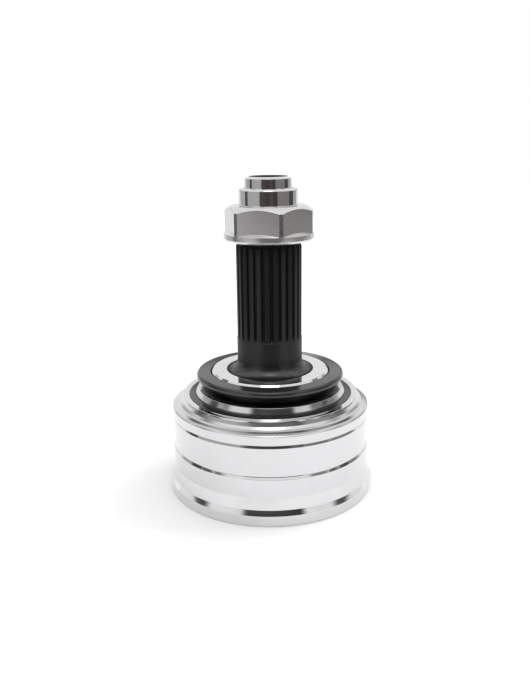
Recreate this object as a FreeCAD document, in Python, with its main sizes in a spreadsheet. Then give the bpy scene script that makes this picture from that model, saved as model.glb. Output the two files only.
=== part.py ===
import FreeCAD, Part
import math
import os
import sys

import Sketcher

# Fixed ball joint for a driven wheel, standing on the mouth of its bell with the stub shaft pointing up.
# The origin is the centre of the mouth's rim and +Z runs up the stub. All sizes are millimetres.

doc = FreeCAD.newDocument("cv_joint")
sheet = doc.addObject("Spreadsheet::Sheet", "Sizes")


class Size:
    """A number together with the spreadsheet formula that it comes from."""

    def __init__(self, value, formula=None):
        self.value = float(value)
        self.formula = formula or repr(float(value))

    def combine(self, other, sign, result):
        return Size(result, f"({self.formula} {sign} {other.formula})")

    def __add__(self, other):
        other = as_size(other)
        return self.combine(other, "+", self.value + other.value)

    def __sub__(self, other):
        other = as_size(other)
        return self.combine(other, "-", self.value - other.value)

    def __mul__(self, other):
        other = as_size(other)
        return self.combine(other, "*", self.value * other.value)

    def __truediv__(self, other):
        other = as_size(other)
        return self.combine(other, "/", self.value / other.value)


def as_size(number):
    return number if isinstance(number, Size) else Size(number)


def root(square):
    return Size(math.sqrt(square.value), f"sqrt({square.formula})")


def turned(radius, angle, function):
    """radius times the sine or cosine of an angle given in degrees."""
    factor = getattr(math, function)(math.radians(angle.value))
    return Size(radius.value * factor, f"({radius.formula} * {function}({angle.formula} * 1 deg))")


def cell(alias, value, note):
    """Writes one driving size to the sheet and returns it."""
    row = cell.row = cell.row + 1
    sheet.set(f"A{row}", note)
    sheet.set(f"B{row}", str(value))
    sheet.setAlias(f"B{row}", alias)
    return Size(value, f"{sheet.Name}.{alias}")


cell.row = 0

# Joint: balls, cage and races
joint_height = cell("joint_height", 20.5, "joint centre above the mouth")
ball_count = cell("ball_count", 6, "balls")
ball_radius = cell("ball_radius", 7.9375, "ball radius, five eighths of an inch across")
pitch_radius = cell("pitch_radius", 29.5, "ball centres from the joint centre, straight joint")
track_offset = cell("track_offset", 3.0, "track centre to joint centre, down outside, up inside")
track_clearance = cell("track_clearance", 0.25, "gap between a ball and its tracks")
track_rise = cell("track_rise", 30.0, "outer tracks end this many degrees above their centre")
track_drop = cell("track_drop", 48.0, "outer tracks run out this many degrees below their centre")
inner_track_sweep = cell("inner_track_sweep", 80.0, "inner tracks reach this many degrees either side")
cage_proud = cell("cage_proud", 2.6, "cage's outer sphere beyond the ball centres")
cage_wall = cell("cage_wall", 4.3, "cage thickness")
cage_clearance = cell("cage_clearance", 0.2, "gap on both spherical seats of the cage")
cage_rim = cell("cage_rim", 4.4, "cage material above and below a window")
window_clearance = cell("window_clearance", 0.45, "gap above and below a ball in its window")
window_travel = cell("window_travel", 2.4, "sideways room for a ball in its window, each side")
window_corner = cell("window_corner", 4.0, "corner radius of a window")
race_half_height = cell("race_half_height", 11.5, "inner race, centre to end face")
race_chamfer = cell("race_chamfer", 1.0, "chamfer at the ends of the inner race's bore")

# Axle bore and circlip
bore_radius = cell("bore_radius", 12.3, "inner race bore over the spline tips")
bore_teeth = cell("bore_teeth", 27, "spline teeth in the inner race")
bore_tooth_depth = cell("bore_tooth_depth", 0.9, "depth of the bore's spline grooves")
bore_groove_width = cell("bore_groove_width", 1.5, "width of the bore's spline grooves")
circlip_wire = cell("circlip_wire", 0.9, "circlip wire radius")
circlip_height = cell("circlip_height", 7.2, "circlip above the joint centre")
circlip_clearance = cell("circlip_clearance", 0.05, "gap between the circlip and its groove")
circlip_gap = cell("circlip_gap", 32.0, "degrees that the circlip leaves open")

# Bell
bell_wall = cell("bell_wall", 8.41, "steel outside the outer tracks")
land_retention = cell("land_retention", 9.5, "spherical seat below the joint centre")
mouth_rim = cell("mouth_rim", 9.1, "width of the rim that the bell stands on")
crown_wall = cell("crown_wall", 4.1, "steel between the cavity and the dust shield's recess")
cavity_rise = cell("cavity_rise", 27.5, "top of the cavity above the joint centre")
foot_step = cell("foot_step", 2.5, "foot ring beyond the bell's wall")
foot_height = cell("foot_height", 4.95, "height of the foot ring")
foot_edge = cell("foot_edge", 0.6, "chamfer below the foot ring")
foot_slope_width = cell("foot_slope_width", 1.1, "width of the slope above the foot ring")
foot_slope_height = cell("foot_slope_height", 2.3, "height of the slope above the foot ring")
flare_height = cell("flare_height", 5.3, "height of the gentle flare above that slope")
lower_land_step = cell("lower_land_step", 0.35, "lower land beyond the wall between the grooves")
lower_land_height = cell("lower_land_height", 8.5, "height of the lower land")
groove_height = cell("groove_height", 1.5, "height of each groove round the bell")
groove_depth = cell("groove_depth", 0.6, "depth of each groove round the bell")
groove_floor = cell("groove_floor", 0.45, "flat floor of each groove round the bell")
groove_side = cell("groove_side", 0.3, "height of the steep upper side of each groove")
upper_land_step = cell("upper_land_step", 0.3, "upper land beyond the wall between the grooves")
upper_land_height = cell("upper_land_height", 3.9, "height of the upper land")
shoulder_edge = cell("shoulder_edge", 0.45, "chamfer above the upper land")
ledge_rise = cell("ledge_rise", 1.0, "each cove between the shoulder's ledges")
ledge_fall = cell("ledge_fall", 0.25, "slope of each ledge of the shoulder")
ledge_width = cell("ledge_width", 1.2, "width of each ledge of the shoulder")
cove_width = cell("cove_width", 0.4, "width of the outer cove")
rim_wall = cell("rim_wall", 1.3, "upright wall below the crown's rim")
rim_round = cell("rim_round", 0.8, "rounding of the crown's rim")
rim_width = cell("rim_width", 3.75, "silver ring round the dust lip")

# Boss, dust parts and seat face
recess_depth = cell("recess_depth", 1.5, "floor under the dust shield below the crown")
lip_width = cell("lip_width", 3.2, "dust lip, inside to outside")
lip_crown = cell("lip_crown", 0.45, "dust lip above the crown at its inner edge")
shield_width = cell("shield_width", 7.7, "dust shield, boss to dust lip")
shield_height = cell("shield_height", 4.75, "dust shield above its recess")
shield_cone_width = cell("shield_cone_width", 1.3, "width of the shield's cone")
shield_cone_height = cell("shield_cone_height", 2.2, "height of the shield's cone")
boss_height = cell("boss_height", 11.4, "seat face above the crown")
boss_chamfer = cell("boss_chamfer", 0.8, "chamfer round the seat face")
seal_width = cell("seal_width", 7.0, "seal ring, boss to rim")
seal_thickness = cell("seal_thickness", 3.55, "seal ring at its inner edge")
seal_drop = cell("seal_drop", 0.45, "seal ring below the seat face")
seal_slope = cell("seal_slope", 0.45, "fall of the seal ring's top, inside to outside")
seal_round = cell("seal_round", 1.15, "rounding of the seal ring's rim")
seal_bevel = cell("seal_bevel", 0.7, "bevel at the seal ring's inner edge")

# Stub shaft
neck_flare = cell("neck_flare", 5.3, "radius of the neck's fillet")
neck_length = cell("neck_length", 10.3, "plain neck below the spline")
neck_step = cell("neck_step", 0.2, "neck beyond the spline's tips")
spline_length = cell("spline_length", 44.9, "spline with its run-outs")
spline_shoulder = cell("spline_shoulder", 2.9, "spline beyond the thread")
spline_chamfer = cell("spline_chamfer", 0.7, "chamfer at the top of the spline")
spline_teeth = cell("spline_teeth", 25, "spline teeth on the stub")
spline_depth = cell("spline_depth", 1.15, "depth of the spline grooves")
spline_groove_width = cell("spline_groove_width", 1.7, "spline groove at the tips")
spline_root_width = cell("spline_root_width", 0.8, "spline groove at its root")
runout_radius = cell("runout_radius", 5.0, "curve of the spline grooves' run-outs")
runout_swing = cell("runout_swing", 60.0, "degrees that the cutter swings out of a run-out")
cutter_margin = cell("cutter_margin", 1.5, "reach of every cutter past the metal")
thread_radius = cell("thread_radius", 12.0, "thread crest")
thread_depth = cell("thread_depth", 0.7, "thread crest to root")
thread_length = cell("thread_length", 21.2, "thread with its relief")
relief_length = cell("relief_length", 2.4, "thread relief above the spline")
relief_depth = cell("relief_depth", 0.4, "thread relief below the root")
pilot_step = cell("pilot_step", 0.7, "pilot end below the thread root")
pilot_length = cell("pilot_length", 6.6, "plain pilot end above the thread")
tip_chamfer = cell("tip_chamfer", 1.95, "width of the chamfer at the tip")
tip_chamfer_height = cell("tip_chamfer_height", 0.9, "height of the chamfer at the tip")
centre_radius = cell("centre_radius", 3.1, "centre drilling at its mouth")
centre_depth = cell("centre_depth", 5.0, "depth of the centre drilling")

# Axle nut
nut_clearance = cell("nut_clearance", 0.05, "gap between the thread crest and the nut")
across_flats = cell("across_flats", 36.0, "nut across its flats")
corner_trim = cell("corner_trim", 0.53, "metal turned off each corner of the hexagon")
flange_rim = cell("flange_rim", 2.2, "upright rim of the nut's flange")
flange_bevel = cell("flange_bevel", 0.95, "bevel below the flange's rim")
flange_bevel_width = cell("flange_bevel_width", 0.75, "width of the bevel below the flange's rim")
flange_cone = cell("flange_cone", 3.2, "rise of the flange's cone from its rim to the collar")
hex_height = cell("hex_height", 15.4, "seat to the top of the hexagon")
hex_crown = cell("hex_crown", 2.4, "drop of the turned crown at the corners")
hex_crown_width = cell("hex_crown_width", 3.55, "width of the turned crown at the corners")
collar_wall = cell("collar_wall", 1.23, "wall of the staking collar")
collar_height = cell("collar_height", 7.35, "staking collar above the hexagon")
collar_edge = cell("collar_edge", 0.7, "chamfer at the top of the collar")

# Levels and radii worked out from those sizes
cage_radius = pitch_radius + cage_proud
cavity_radius = cage_radius + cage_clearance
cage_bore = cage_radius - cage_wall
race_radius = cage_bore - cage_clearance
track_radius = ball_radius + track_clearance
track_circle = root(pitch_radius * pitch_radius + track_offset * track_offset)
outer_track_level = joint_height - track_offset
inner_track_level = joint_height + track_offset
cage_half_height = ball_radius + window_clearance + cage_rim

wall_radius = pitch_radius + ball_radius + track_clearance + bell_wall
foot_radius = wall_radius + foot_step
lower_land_radius = wall_radius + lower_land_step
upper_land_radius = wall_radius + upper_land_step
slope_top_radius = foot_radius - foot_slope_width
crown_edge_radius = upper_land_radius - shoulder_edge - ledge_width - cove_width - ledge_width - ledge_rise
recess_radius = crown_edge_radius - rim_width
shield_radius = recess_radius - lip_width
boss_radius = shield_radius - shield_width

recess_level = joint_height + root(
    (cavity_radius + crown_wall) * (cavity_radius + crown_wall) - boss_radius * boss_radius
)
crown_level = recess_level + recess_depth
rim_foot_level = crown_level - rim_round - rim_wall
outer_ledge_level = rim_foot_level - ledge_rise - ledge_fall - ledge_rise - ledge_fall
upper_land_top = outer_ledge_level - shoulder_edge
upper_groove_top = upper_land_top - upper_land_height
slope_top_level = foot_height + foot_slope_height
flare_top_level = slope_top_level + flare_height
lower_groove_level = flare_top_level + lower_land_height
lower_groove_top = lower_groove_level + groove_height

seat_level = crown_level + boss_height
neck_level = seat_level + neck_flare
spline_level = neck_level + neck_length
nut_level = spline_level + spline_length
thread_top = nut_level + thread_length
tip_level = thread_top + pilot_length
spline_radius = thread_radius + spline_shoulder
neck_radius = spline_radius + neck_step
flare_edge_radius = neck_radius + neck_flare
root_radius = thread_radius - thread_depth
relief_radius = root_radius - relief_depth
pilot_radius = root_radius - pilot_step


def plane(body, role):
    return next(f for f in body.Origin.OriginFeatures if f.Role == role)


def pin_point(sketch, geometry, end, x, y):
    """Holds one end of an edge at x, y: on an axis where that is zero, else by a bound distance."""
    for kind, size, axis in (("DistanceX", as_size(x), -2), ("DistanceY", as_size(y), -1)):
        if size.value == 0:
            sketch.addConstraint(Sketcher.Constraint("PointOnObject", geometry, end, axis))
            continue
        index = sketch.addConstraint(Sketcher.Constraint(kind, -1, 1, geometry, end, size.value))
        sketch.setExpression(f"Constraints[{index}]", size.formula)


def outline_sketch(body, name, role, corners, level=None):
    """A closed outline through corners. A corner with a third entry is reached along an arc of that
    radius. The arc's centre lies to the left of the way there if the fourth entry is 1, else right."""
    sketch = body.newObject("Sketcher::SketchObject", name)
    sketch.AttachmentSupport = [(plane(body, role), "")]
    sketch.MapMode = "FlatFace"
    if level is not None:
        sketch.setExpression("AttachmentOffset.Base.z", level.formula)
    ends = []
    for here, there in zip(corners, corners[1:] + corners[:1]):
        a = FreeCAD.Vector(as_size(here[0]).value, as_size(here[1]).value, 0)
        b = FreeCAD.Vector(as_size(there[0]).value, as_size(there[1]).value, 0)
        if len(there) == 2:
            ends.append((sketch.addGeometry(Part.LineSegment(a, b)), 1, 2))
            continue
        radius, side = there[2], there[3]
        way = b - a
        left = FreeCAD.Vector(-way.y, way.x, 0).normalize()
        rise = math.sqrt(max(radius.value ** 2 - (way.Length / 2) ** 2, 0))
        centre = (a + b) / 2 + left * rise * side
        start, end = (a, b) if side > 0 else (b, a)
        angles = [math.atan2(p.y - centre.y, p.x - centre.x) for p in (start, end)]
        circle = Part.Circle(centre, FreeCAD.Vector(0, 0, 1), radius.value)
        index = sketch.addGeometry(Part.ArcOfCircle(circle, *angles))
        ends.append((index, 1, 2) if side > 0 else (index, 2, 1))
    following = zip(ends, ends[1:] + ends[:1], corners[1:] + corners[:1])
    for (one, _, last), (two, start, _), corner in following:
        sketch.addConstraint(Sketcher.Constraint("Coincident", one, last, two, start))
        pin_point(sketch, two, start, corner[0], corner[1])
        if len(corner) > 2:
            index = sketch.addConstraint(Sketcher.Constraint("Radius", one, corner[2].value))
            sketch.setExpression(f"Constraints[{index}]", corner[2].formula)
    return sketch


def turned_body(label, corners):
    """A body turned about Z from a closed outline of (radius, height) corners."""
    body = doc.addObject("PartDesign::Body", label)
    sketch = outline_sketch(body, f"{label}_outline", "XZ_Plane", corners)
    turning = body.newObject("PartDesign::Revolution", f"{label}_turning")
    turning.Profile = sketch
    turning.ReferenceAxis = (sketch, ["V_Axis"])
    turning.Angle = 360
    doc.recompute()
    return body


def around(body, name, feature, count):
    """Repeats a cut evenly round Z and checks that the copies took metal away."""
    doc.recompute()
    before = body.Shape.Volume
    pattern = body.newObject("PartDesign::PolarPattern", name)
    pattern.Originals = [feature]
    pattern.Axis = (plane(body, "Z_Axis"), [""])
    pattern.Angle = 360
    pattern.setExpression("Occurrences", count.formula)
    body.Tip = pattern
    doc.recompute()
    if body.Shape.Volume >= before:
        sys.exit(f"{name} cut nothing")
    return pattern


def ball_track(body, name, level, rise, drop):
    """Cuts one ball track, curved about a level axis at a height, from below that height to above it."""
    track = body.newObject("PartDesign::SubtractiveTorus", name)
    track.AttachmentSupport = [(plane(body, "YZ_Plane"), "")]
    track.MapMode = "FlatFace"
    track.setExpression("Radius1", track_circle.formula)
    track.setExpression("Radius2", track_radius.formula)
    track.setExpression("Angle3", (rise + drop).formula)
    track.setExpression("AttachmentOffset.Base.y", level.formula)
    track.setExpression("AttachmentOffset.Rotation.Angle", (as_size(0) - drop).formula)
    return track


def groove_corners(radius, depth, width, root_width):
    """Corners of a spline groove that opens outwards at -Y, with the cutter's reach past the metal."""
    return [
        (as_size(0) - root_width / 2, as_size(0) - (radius - depth)),
        (root_width / 2, as_size(0) - (radius - depth)),
        (width / 2, as_size(0) - radius),
        (width / 2, as_size(0) - radius - cutter_margin),
        (as_size(0) - width / 2, as_size(0) - radius - cutter_margin),
        (as_size(0) - width / 2, as_size(0) - radius),
    ]


# Outer race: bell, boss and stub shaft forged in one
outer_race = turned_body("outer_race", [
    (foot_radius - mouth_rim, 0),
    (foot_radius - foot_edge, 0),
    (foot_radius, foot_edge),
    (foot_radius, foot_height),
    (slope_top_radius, slope_top_level),
    (lower_land_radius, flare_top_level),
    (lower_land_radius, lower_groove_level),
    (wall_radius - groove_depth, lower_groove_top - groove_side - groove_floor),
    (wall_radius - groove_depth, lower_groove_top - groove_side),
    (wall_radius, lower_groove_top),
    (wall_radius, upper_groove_top - groove_height),
    (wall_radius - groove_depth, upper_groove_top - groove_side - groove_floor),
    (wall_radius - groove_depth, upper_groove_top - groove_side),
    (upper_land_radius, upper_groove_top),
    (upper_land_radius, upper_land_top),
    (upper_land_radius - shoulder_edge, outer_ledge_level),
    (upper_land_radius - shoulder_edge - ledge_width, outer_ledge_level + ledge_fall),
    (crown_edge_radius + ledge_rise + ledge_width, outer_ledge_level + ledge_fall + ledge_rise),
    (crown_edge_radius + ledge_rise, rim_foot_level - ledge_rise),
    (crown_edge_radius, rim_foot_level, ledge_rise, -1),
    (crown_edge_radius, crown_level - rim_round),
    (crown_edge_radius - rim_round, crown_level, rim_round, 1),
    (recess_radius, crown_level),
    (recess_radius, recess_level),
    (boss_radius, recess_level),
    (boss_radius, seat_level - boss_chamfer),
    (boss_radius - boss_chamfer, seat_level),
    (flare_edge_radius, seat_level),
    (neck_radius, neck_level, neck_flare, -1),
    (neck_radius, spline_level - neck_step),
    (spline_radius, spline_level),
    (spline_radius, nut_level - spline_chamfer),
    (spline_radius - spline_chamfer, nut_level),
    (relief_radius, nut_level),
    (relief_radius, nut_level + relief_length),
    (root_radius, nut_level + relief_length + relief_depth),
    (root_radius, thread_top - pilot_step),
    (pilot_radius, thread_top),
    (pilot_radius, tip_level - tip_chamfer_height),
    (pilot_radius - tip_chamfer, tip_level),
    (centre_radius, tip_level),
    (0, tip_level - centre_depth),
    (0, joint_height + cavity_rise),
    (root(cavity_radius * cavity_radius - cavity_rise * cavity_rise), joint_height + cavity_rise),
    (root(cavity_radius * cavity_radius - land_retention * land_retention), joint_height - land_retention,
     cavity_radius, -1),
])

outer_track = ball_track(outer_race, "outer_track", outer_track_level, track_rise, track_drop)
around(outer_race, "outer_tracks", outer_track, ball_count)
track_end = outer_race.newObject("PartDesign::SubtractiveSphere", "outer_track_end")
track_end.AttachmentSupport = [(plane(outer_race, "YZ_Plane"), "")]
track_end.MapMode = "FlatFace"
track_end.setExpression("Radius", track_radius.formula)
track_end.setExpression("AttachmentOffset.Base.x", turned(track_circle, track_rise, "cos").formula)
end_level = outer_track_level + turned(track_circle, track_rise, "sin")
track_end.setExpression("AttachmentOffset.Base.y", end_level.formula)
around(outer_race, "outer_track_ends", track_end, ball_count)

# Each spline groove runs up from a curved run-out, which the same section leaves as it swings outwards
runout_reach = runout_radius - spline_depth
runout = root(runout_radius * runout_radius - runout_reach * runout_reach)
groove = outline_sketch(
    outer_race, "spline_groove", "XY_Plane",
    groove_corners(spline_radius, spline_depth, spline_groove_width, spline_root_width),
    spline_level + runout,
)
groove_cut = outer_race.newObject("PartDesign::Pocket", "spline_groove_cut")
groove_cut.Profile = groove
groove_cut.Reversed = True
groove_cut.setExpression("Length", spline_length.formula)
around(outer_race, "spline_grooves", groove_cut, spline_teeth)
runout_section = outline_sketch(
    outer_race, "spline_runout", "XY_Plane",
    groove_corners(spline_radius, spline_depth, spline_groove_width, spline_root_width),
    spline_level + runout,
)
hinge_y = as_size(0) - spline_radius - runout_reach
hinge = runout_section.addGeometry(
    Part.LineSegment(FreeCAD.Vector(0, hinge_y.value, 0), FreeCAD.Vector(1, hinge_y.value, 0)), True
)
pin_point(runout_section, hinge, 1, 0, hinge_y)
pin_point(runout_section, hinge, 2, 1, hinge_y)
runout_cut = outer_race.newObject("PartDesign::Groove", "spline_runout_cut")
runout_cut.Profile = runout_section
runout_cut.ReferenceAxis = (runout_section, ["Axis0"])
runout_cut.setExpression("Angle", runout_swing.formula)
runout_cut.Reversed = True
around(outer_race, "spline_runouts", runout_cut, spline_teeth)

# Dust shield, dust lip and seal ring round the boss
dust_shield = turned_body("dust_shield", [
    (boss_radius, recess_level),
    (shield_radius, recess_level),
    (shield_radius, recess_level + shield_height - shield_cone_height),
    (shield_radius - shield_cone_width, recess_level + shield_height),
    (boss_radius, recess_level + shield_height),
])
dust_lip = turned_body("dust_lip", [
    (shield_radius, recess_level),
    (recess_radius, recess_level),
    (recess_radius, crown_level),
    (shield_radius, crown_level + lip_crown),
])
seal_radius = boss_radius + seal_width
seal_top = seat_level - seal_drop
seal_ring = turned_body("seal_ring", [
    (boss_radius, seal_top - seal_thickness),
    (seal_radius - seal_round, seal_top - seal_thickness),
    (seal_radius, seal_top - seal_thickness + seal_round, seal_round, 1),
    (seal_radius, seal_top - seal_slope - seal_round),
    (seal_radius - seal_round, seal_top - seal_slope, seal_round, 1),
    (boss_radius + seal_bevel, seal_top),
    (boss_radius, seal_top - seal_bevel),
])

# Cage
cage_top_radius = root(cage_radius * cage_radius - cage_half_height * cage_half_height)
cage_top_bore = root(cage_bore * cage_bore - cage_half_height * cage_half_height)
cage = turned_body("cage", [
    (cage_top_radius, joint_height - cage_half_height),
    (cage_top_radius, joint_height + cage_half_height, cage_radius, 1),
    (cage_top_bore, joint_height + cage_half_height),
    (cage_top_bore, joint_height - cage_half_height, cage_bore, -1),
])
window_half_width = ball_radius + window_travel
window_top = joint_height + ball_radius + window_clearance
window_foot = joint_height - ball_radius - window_clearance
left_side = as_size(0) - window_half_width
window = outline_sketch(cage, "window_outline", "XZ_Plane", [
    (left_side + window_corner, window_foot, window_corner, 1),
    (window_half_width - window_corner, window_foot),
    (window_half_width, window_foot + window_corner, window_corner, 1),
    (window_half_width, window_top - window_corner),
    (window_half_width - window_corner, window_top, window_corner, 1),
    (left_side + window_corner, window_top),
    (left_side, window_top - window_corner, window_corner, 1),
    (left_side, window_foot + window_corner),
])
window_cut = cage.newObject("PartDesign::Pocket", "window_cut")
window_cut.Profile = window
window_cut.setExpression("Length", (cage_radius + cutter_margin).formula)
around(cage, "windows", window_cut, ball_count)

# Inner race with its splined bore and the circlip's groove
clip_level = joint_height + circlip_height
clip_groove_radius = bore_radius + circlip_wire + circlip_clearance
clip_groove_half = circlip_wire + circlip_clearance
race_face_radius = root(race_radius * race_radius - race_half_height * race_half_height)
race_top = joint_height + race_half_height
race_foot = joint_height - race_half_height
inner_race = turned_body("inner_race", [
    (bore_radius + race_chamfer, race_foot),
    (race_face_radius, race_foot),
    (race_face_radius, race_top, race_radius, 1),
    (bore_radius + race_chamfer, race_top),
    (bore_radius, race_top - race_chamfer),
    (bore_radius, clip_level + clip_groove_half),
    (clip_groove_radius, clip_level + clip_groove_half),
    (clip_groove_radius, clip_level - clip_groove_half),
    (bore_radius, clip_level - clip_groove_half),
    (bore_radius, race_foot + race_chamfer),
])
inner_track = ball_track(inner_race, "inner_track", inner_track_level, inner_track_sweep, inner_track_sweep)
around(inner_race, "inner_tracks", inner_track, ball_count)

half_bore_groove = bore_groove_width / 2
bore_groove = outline_sketch(inner_race, "bore_groove", "XY_Plane", [
    (as_size(0) - half_bore_groove, bore_radius - cutter_margin),
    (half_bore_groove, bore_radius - cutter_margin),
    (half_bore_groove, bore_radius + bore_tooth_depth),
    (as_size(0) - half_bore_groove, bore_radius + bore_tooth_depth),
], race_foot)
bore_groove_cut = inner_race.newObject("PartDesign::Pocket", "bore_groove_cut")
bore_groove_cut.Profile = bore_groove
bore_groove_cut.Reversed = True
bore_groove_cut.setExpression("Length", (race_half_height * 2).formula)
around(inner_race, "bore_grooves", bore_groove_cut, bore_teeth)

circlip = doc.addObject("Part::Torus", "circlip")
circlip.setExpression("Radius1", bore_radius.formula)
circlip.setExpression("Radius2", circlip_wire.formula)
circlip.setExpression("Angle3", (as_size(360) - circlip_gap).formula)
circlip.setExpression("Placement.Base.z", clip_level.formula)

# Balls, numbered round the joint
balls = []
for number in range(int(ball_count.value)):
    ball = doc.addObject("Part::Sphere", f"ball_{number + 1}")
    ball.setExpression("Radius", ball_radius.formula)
    bearing = Size(360) * Size(number + 0.5) / ball_count
    ball.setExpression("Placement.Base.x", turned(pitch_radius, bearing, "cos").formula)
    ball.setExpression("Placement.Base.y", turned(pitch_radius, bearing, "sin").formula)
    ball.setExpression("Placement.Base.z", joint_height.formula)
    balls.append(ball)

# Axle nut: hexagon trimmed by a turned blank, with a coned flange below and a staking collar above
nut_bore = thread_radius + nut_clearance
blank_radius = across_flats / math.sqrt(3) - corner_trim
hex_level = nut_level + hex_height
collar_radius = nut_bore + collar_wall
collar_top = hex_level + collar_height
flange_level = nut_level + flange_bevel + flange_rim
blank = turned_body("nut_blank", [
    (nut_bore, nut_level + flange_bevel),
    (blank_radius, nut_level + flange_bevel),
    (blank_radius, hex_level - hex_crown),
    (blank_radius - hex_crown_width, hex_level),
    (nut_bore, hex_level),
])
hexagon = doc.addObject("Part::Prism", "nut_hexagon")
hexagon.Polygon = 6
hexagon.setExpression("Circumradius", (across_flats / math.sqrt(3)).formula)
hexagon.setExpression("Height", hex_height.formula)
hexagon.setExpression("Placement.Base.z", nut_level.formula)
trimmed = doc.addObject("Part::Common", "nut_trimmed_hexagon")
trimmed.Base = blank
trimmed.Tool = hexagon
flange = turned_body("nut_flange", [
    (nut_bore, nut_level),
    (blank_radius - flange_bevel_width, nut_level),
    (blank_radius, nut_level + flange_bevel),
    (blank_radius, flange_level),
    (collar_radius, flange_level + flange_cone),
    (collar_radius, collar_top - collar_edge),
    (collar_radius - collar_edge, collar_top),
    (nut_bore, collar_top),
])
axle_nut = doc.addObject("Part::Fuse", "axle_nut")
axle_nut.Base = trimmed
axle_nut.Tool = flange
doc.recompute()

pieces = [outer_race, dust_shield, dust_lip, seal_ring, cage, inner_race, circlip, *balls, axle_nut]
for piece in pieces:
    piece.Label = piece.Name

doc.recompute()
for item in doc.Objects:
    if "Invalid" in item.State or "Error" in item.State:
        sys.exit(f"{item.Name} failed: {item.State}")
for piece in pieces:
    if piece.Shape.isNull() or not piece.Shape.isValid() or not piece.Shape.Solids:
        sys.exit(f"{piece.Label} has no valid shape")

os.makedirs("parts", exist_ok=True)
for piece in pieces:
    piece.Shape.exportStep(f"parts/{piece.Label}.step")
    print(f"{piece.Label:12s} {len(piece.Shape.Solids)} solid, {piece.Shape.Volume / 1000:8.2f} cm3")
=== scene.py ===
import bpy
import math
import numpy as np
from mathutils import Matrix, Vector


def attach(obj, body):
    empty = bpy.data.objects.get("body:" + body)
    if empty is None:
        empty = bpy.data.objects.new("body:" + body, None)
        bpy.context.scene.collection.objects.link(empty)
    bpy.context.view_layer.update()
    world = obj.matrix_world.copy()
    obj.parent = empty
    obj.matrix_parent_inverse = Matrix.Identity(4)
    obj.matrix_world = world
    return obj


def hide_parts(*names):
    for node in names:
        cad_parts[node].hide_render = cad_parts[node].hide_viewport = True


# A fixed ball joint for a driven wheel. The lengths in the dictionaries are millimetres and the angles degrees.

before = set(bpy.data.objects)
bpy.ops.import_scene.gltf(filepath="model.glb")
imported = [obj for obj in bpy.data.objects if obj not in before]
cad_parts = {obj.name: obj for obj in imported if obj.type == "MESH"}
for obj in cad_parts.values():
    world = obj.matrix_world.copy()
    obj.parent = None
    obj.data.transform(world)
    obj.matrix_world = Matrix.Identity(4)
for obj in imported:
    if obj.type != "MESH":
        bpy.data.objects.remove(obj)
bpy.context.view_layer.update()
print("frame loaded:", len(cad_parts), "nodes")

millimetre = 0.001
circle = 2 * math.pi


# Surfaces

def arcPoints(centre, radius, start, end, count):
    # points at centre + radius * (cos a, sin a), with a running evenly from start to end degrees
    angle = np.radians(np.linspace(start, end, count))
    return np.stack([centre[0] + radius * np.cos(angle), centre[1] + radius * np.sin(angle)], -1)


def filletCorner(before, corner, after, fillet, steps):
    # the arc that touches both sides, fillet / tan(half the corner's angle) away from the corner
    back, ahead = np.subtract(before, corner), np.subtract(after, corner)
    back, ahead = back / np.hypot(*back), ahead / np.hypot(*ahead)
    half = math.acos(np.clip(back @ ahead, -1, 1)) / 2
    towards = (back + ahead) / np.hypot(*(back + ahead))
    centre = corner + towards * fillet / math.sin(half)
    first, last = back * fillet / math.tan(half) + corner - centre, ahead * fillet / math.tan(half) + corner - centre
    turn = np.linspace(0, 1, steps + 1)[:, None]
    sweep = math.pi - 2 * half
    return centre + (np.sin((1 - turn) * sweep) * first + np.sin(turn * sweep) * last) / math.sin(sweep)


def outline(corners, steps=4):
    # a polyline of (radius, height) in which a third entry rounds its corner
    points = []
    for number, corner in enumerate(corners):
        here = np.array(corner[:2], float)
        if len(corner) == 2 or not corner[2]:
            points.append(here[None])
            continue
        before, after = corners[number - 1][:2], corners[(number + 1) % len(corners)][:2]
        points.append(filletCorner(before, here, after, corner[2], steps))
    return np.vstack(points)


def turnedGrid(profile, bearings):
    # (r cos b, r sin b, z) for each (r, z) of the profile and each bearing b in radians
    radius, height = profile[:, :1], profile[:, 1:]
    return np.stack([radius * np.cos(bearings), radius * np.sin(bearings), height + 0 * bearings], -1)


def evenBearings(columns):
    return np.arange(columns) * circle / columns


def meshFrom(name, vertices, faces):
    # turns every face round where the enclosed volume, the sum of a . (b x c) / 6 over triangles, comes out negative
    parts = [np.concatenate([f[:, [0, k, k + 1]] for k in range(1, f.shape[1] - 1)]) for f in faces]
    a, b, c = (vertices[np.concatenate(parts)[:, k]] for k in range(3))
    if np.einsum("ij,ij->", a, np.cross(b, c)) < 0:
        faces = [f[:, ::-1] for f in faces]
    mesh = bpy.data.meshes.new(name)
    mesh.from_pydata((vertices * millimetre).tolist(), [], [row for f in faces for row in f.tolist()])
    return mesh


def addPiece(mesh, body, finish, replaced=(), sharp=32, bevel=0):
    piece = bpy.data.objects.new(mesh.name, mesh)
    bpy.context.scene.collection.objects.link(piece)
    mesh.shade_smooth()
    mesh.set_sharp_from_angle(angle=math.radians(sharp))
    mesh.materials.append(finish.material)
    if bevel:
        rounding = piece.modifiers.new("rounding", "BEVEL")
        rounding.width = bevel * millimetre
        rounding.segments = 2
        rounding.limit_method = "ANGLE"
        rounding.angle_limit = math.radians(sharp)
    weighting = piece.modifiers.new("weighting", "WEIGHTED_NORMAL")
    weighting.keep_sharp = True
    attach(piece, body)
    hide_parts(*replaced)
    print("made", mesh.name, len(mesh.polygons), "faces")
    return piece


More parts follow.
